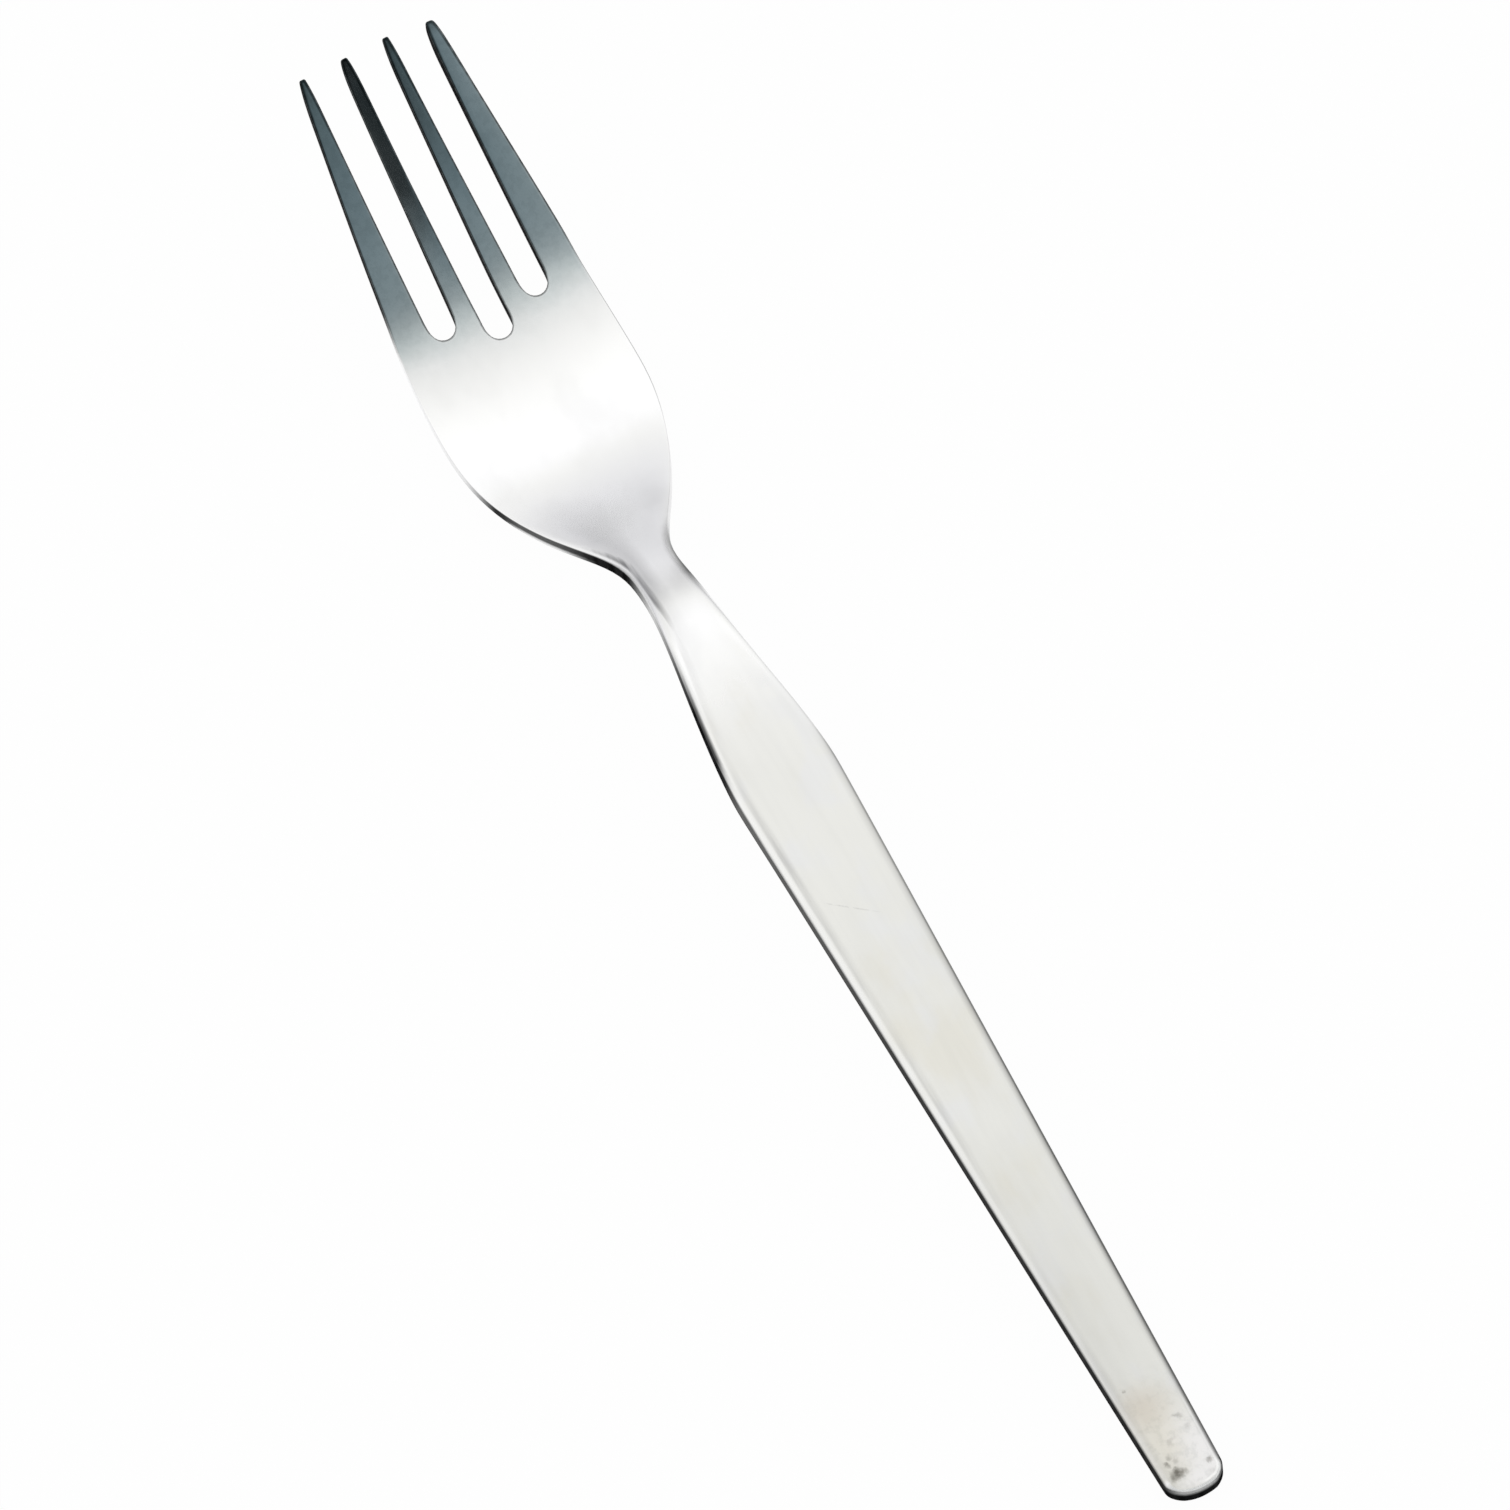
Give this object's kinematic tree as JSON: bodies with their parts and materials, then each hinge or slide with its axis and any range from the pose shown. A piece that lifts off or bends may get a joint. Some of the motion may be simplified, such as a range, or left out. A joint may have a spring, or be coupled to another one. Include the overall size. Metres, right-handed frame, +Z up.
{
  "type": "dessert fork",
  "caption": "Stainless steel dessert fork with slender tapering tines, a shallow dished head, a narrow waisted neck and a flat handle that tapers from a shoulder to a rounded end.",
  "frame": {"origin": "middle of the fork's bounding box, at the height of the table that it lies on", "axes": "+X from the handle end to the tine tips, +Y to the side of tine_1, +Z up from the table"},
  "size_m": [0.1806, 0.023, 0.0209],
  "materials": {
    "steel": "worn satin polish"
  },
  "bodies": {
    "root": {"handle": "steel", "neck": "steel", "bowl": "steel", "tine_1": "steel", "tine_2": "steel", "tine_3": "steel", "tine_4": "steel"}
  },
  "joints": []
}
